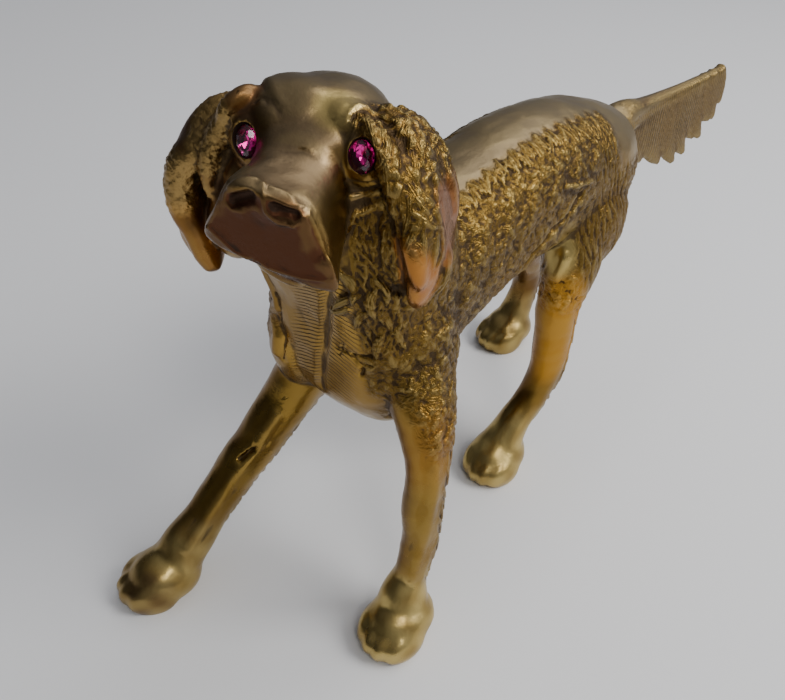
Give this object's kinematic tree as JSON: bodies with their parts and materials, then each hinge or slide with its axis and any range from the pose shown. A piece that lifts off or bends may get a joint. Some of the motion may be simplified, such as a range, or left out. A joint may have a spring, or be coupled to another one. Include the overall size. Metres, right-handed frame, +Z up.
{
  "type": "brass dog sculpture",
  "caption": "Cast brass gun dog in a walking stance, head turned, with a curly coat, feathered tail and red glass eyes.",
  "frame": {"origin": "on the ground plane under the middle of the figure's box", "axes": "+Z up, +X to the dog's left, the dog walks towards -Y and its tail points to +Y"},
  "size_m": [0.1082, 0.362, 0.2012],
  "materials": {
    "brass": "cast, polished on the high places, brown patina in the recesses",
    "ruby": "polished facets"
  },
  "bodies": {
    "root": {"dog": "brass", "left_eye": "ruby", "right_eye": "ruby"}
  },
  "joints": []
}
